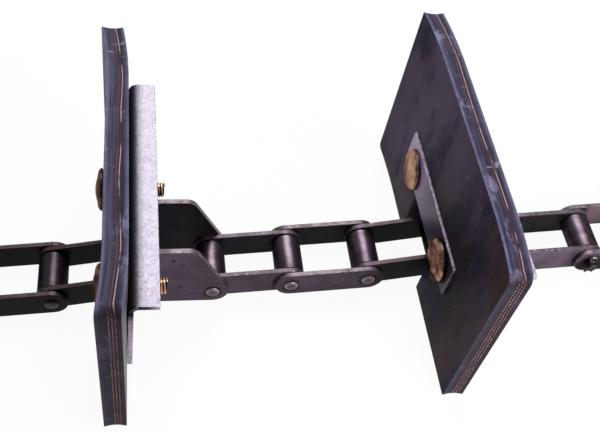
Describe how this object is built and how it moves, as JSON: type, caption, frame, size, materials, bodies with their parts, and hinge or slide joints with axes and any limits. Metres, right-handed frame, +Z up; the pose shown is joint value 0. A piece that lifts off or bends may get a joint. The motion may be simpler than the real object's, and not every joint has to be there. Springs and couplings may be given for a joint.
{
  "type": "conveyor chain",
  "caption": "Strand of steel roller chain with bent attachment plates that carry upright rubber paddles, for dragging grain or bulk goods along a trough.",
  "frame": {"origin": "on the floor plane that the plate edges rest on, under the middle of the strand", "axes": "+X along the chain towards the connecting link's end, +Y along the pins away from the cottered side, +Z up, the way that the paddles stand"},
  "size_m": [0.471, 0.168, 0.104],
  "materials": {
    "chain_plate": "dark heat-treated, edges worn to a pinkish grey",
    "bush_steel": "dark heat-treated",
    "pin_steel": "dark heat-treated, riveted ends",
    "roller_steel": "dark satin",
    "cotter_wire": "dull drawn wire",
    "belting_rubber": "smooth faces, cut edges that show the fabric plies",
    "galvanised_sheet": "mottled galvanised",
    "strap_steel": "dark mill finish",
    "zinc_bolt": "yellow zinc plated",
    "zinc_nut": "yellow zinc plated"
  },
  "bodies": {
    "inner_link_01": {"inner_link_01_front_plate": "chain_plate", "inner_link_01_back_plate": "chain_plate", "inner_link_01_bushes": "bush_steel"},
    "outer_link_02": {"outer_link_02_front_plate": "chain_plate", "outer_link_02_back_plate": "chain_plate", "outer_link_02_pins": "pin_steel"},
    "inner_link_03": {"inner_link_03_front_plate": "chain_plate", "inner_link_03_back_plate": "chain_plate", "inner_link_03_bushes": "bush_steel"},
    "paddle_link_04": {"paddle_link_04_front_plate": "chain_plate", "paddle_link_04_back_plate": "chain_plate", "paddle_link_04_pins": "pin_steel", "paddle_link_04_paddle": "belting_rubber", "paddle_link_04_angle": "galvanised_sheet", "paddle_link_04_strap": "strap_steel", "paddle_link_04_bolts": "zinc_bolt", "paddle_link_04_nuts": "zinc_nut"},
    "inner_link_05": {"inner_link_05_front_plate": "chain_plate", "inner_link_05_back_plate": "chain_plate", "inner_link_05_bushes": "bush_steel"},
    "outer_link_06": {"outer_link_06_front_plate": "chain_plate", "outer_link_06_back_plate": "chain_plate", "outer_link_06_pins": "pin_steel"},
    "inner_link_07": {"inner_link_07_front_plate": "chain_plate", "inner_link_07_back_plate": "chain_plate", "inner_link_07_bushes": "bush_steel"},
    "paddle_link_08": {"paddle_link_08_front_plate": "chain_plate", "paddle_link_08_back_plate": "chain_plate", "paddle_link_08_pins": "pin_steel", "paddle_link_08_paddle": "belting_rubber", "paddle_link_08_angle": "galvanised_sheet", "paddle_link_08_strap": "strap_steel", "paddle_link_08_bolts": "zinc_bolt", "paddle_link_08_nuts": "zinc_nut"},
    "inner_link_09": {"inner_link_09_front_plate": "chain_plate", "inner_link_09_back_plate": "chain_plate", "inner_link_09_bushes": "bush_steel"},
    "connecting_link_10": {"connecting_link_10_loose_plate": "chain_plate", "connecting_link_10_back_plate": "chain_plate", "connecting_link_10_pins": "pin_steel", "connecting_link_10_cotters": "cotter_wire"},
    "inner_link_11": {"inner_link_11_front_plate": "chain_plate", "inner_link_11_back_plate": "chain_plate", "inner_link_11_bushes": "bush_steel"},
    "roller_01": {"roller_01": "roller_steel"},
    "roller_02": {"roller_02": "roller_steel"},
    "roller_03": {"roller_03": "roller_steel"},
    "roller_04": {"roller_04": "roller_steel"},
    "roller_05": {"roller_05": "roller_steel"},
    "roller_06": {"roller_06": "roller_steel"},
    "roller_07": {"roller_07": "roller_steel"},
    "roller_08": {"roller_08": "roller_steel"},
    "roller_09": {"roller_09": "roller_steel"},
    "roller_10": {"roller_10": "roller_steel"},
    "roller_11": {"roller_11": "roller_steel"},
    "roller_12": {"roller_12": "roller_steel"}
  },
  "joints": [
    {"name": "joint_02", "type": "hinge", "parent": "outer_link_02", "child": "inner_link_01", "pos_m": [-0.18588, 0, 0.00825], "axis": [0, -1, 0], "range_deg": [-60, 60]},
    {"name": "joint_03", "type": "hinge", "parent": "inner_link_03", "child": "outer_link_02", "pos_m": [-0.14448, 0, 0.00825], "axis": [0, 1, 0], "range_deg": [-65.77, 54.23]},
    {"name": "joint_04", "type": "hinge", "parent": "paddle_link_04", "child": "inner_link_03", "pos_m": [-0.10329, 0, 0.01241], "axis": [0, -1, 0], "range_deg": [-36.54, 48.46]},
    {"name": "joint_05", "type": "hinge", "parent": "inner_link_05", "child": "paddle_link_04", "pos_m": [-0.0621, 0, 0.00825], "axis": [0, 1, 0], "range_deg": [-65.77, 54.23]},
    {"name": "joint_06", "type": "hinge", "parent": "outer_link_06", "child": "inner_link_05", "pos_m": [-0.0207, 0, 0.00825], "axis": [0, -1, 0], "range_deg": [-60, 60]},
    {"name": "joint_07", "type": "hinge", "parent": "outer_link_06", "child": "inner_link_07", "pos_m": [0.0207, 0, 0.00825], "axis": [0, -1, 0], "range_deg": [-65.77, 54.23]},
    {"name": "joint_08", "type": "hinge", "parent": "inner_link_07", "child": "paddle_link_08", "pos_m": [0.06189, 0, 0.01241], "axis": [0, 1, 0], "range_deg": [-36.54, 48.46]},
    {"name": "joint_09", "type": "hinge", "parent": "paddle_link_08", "child": "inner_link_09", "pos_m": [0.10308, 0, 0.00825], "axis": [0, -1, 0], "range_deg": [-65.77, 54.23]},
    {"name": "joint_10", "type": "hinge", "parent": "inner_link_09", "child": "connecting_link_10", "pos_m": [0.14448, 0, 0.00825], "axis": [0, 1, 0], "range_deg": [-60, 60]},
    {"name": "joint_11", "type": "hinge", "parent": "connecting_link_10", "child": "inner_link_11", "pos_m": [0.18588, 0, 0.00825], "axis": [0, -1, 0], "range_deg": [-60, 60]},
    {"name": "roller_01_spin", "type": "hinge", "parent": "inner_link_01", "child": "roller_01", "pos_m": [-0.22728, 0, 0.00825], "axis": [0, 1, 0], "continuous": true},
    {"name": "roller_02_spin", "type": "hinge", "parent": "inner_link_01", "child": "roller_02", "pos_m": [-0.18588, 0, 0.00825], "axis": [0, 1, 0], "continuous": true},
    {"name": "roller_03_spin", "type": "hinge", "parent": "inner_link_03", "child": "roller_03", "pos_m": [-0.14448, 0, 0.00825], "axis": [0, 1, 0], "continuous": true},
    {"name": "roller_04_spin", "type": "hinge", "parent": "inner_link_03", "child": "roller_04", "pos_m": [-0.10329, 0, 0.01241], "axis": [0, 1, 0], "continuous": true},
    {"name": "roller_05_spin", "type": "hinge", "parent": "inner_link_05", "child": "roller_05", "pos_m": [-0.0621, 0, 0.00825], "axis": [0, 1, 0], "continuous": true},
    {"name": "roller_06_spin", "type": "hinge", "parent": "inner_link_05", "child": "roller_06", "pos_m": [-0.0207, 0, 0.00825], "axis": [0, 1, 0], "continuous": true},
    {"name": "roller_07_spin", "type": "hinge", "parent": "inner_link_07", "child": "roller_07", "pos_m": [0.0207, 0, 0.00825], "axis": [0, 1, 0], "continuous": true},
    {"name": "roller_08_spin", "type": "hinge", "parent": "inner_link_07", "child": "roller_08", "pos_m": [0.06189, 0, 0.01241], "axis": [0, 1, 0], "continuous": true},
    {"name": "roller_09_spin", "type": "hinge", "parent": "inner_link_09", "child": "roller_09", "pos_m": [0.10308, 0, 0.00825], "axis": [0, 1, 0], "continuous": true},
    {"name": "roller_10_spin", "type": "hinge", "parent": "inner_link_09", "child": "roller_10", "pos_m": [0.14448, 0, 0.00825], "axis": [0, 1, 0], "continuous": true},
    {"name": "roller_11_spin", "type": "hinge", "parent": "inner_link_11", "child": "roller_11", "pos_m": [0.18588, 0, 0.00825], "axis": [0, 1, 0], "continuous": true},
    {"name": "roller_12_spin", "type": "hinge", "parent": "inner_link_11", "child": "roller_12", "pos_m": [0.22728, 0, 0.00825], "axis": [0, 1, 0], "continuous": true}
  ]
}
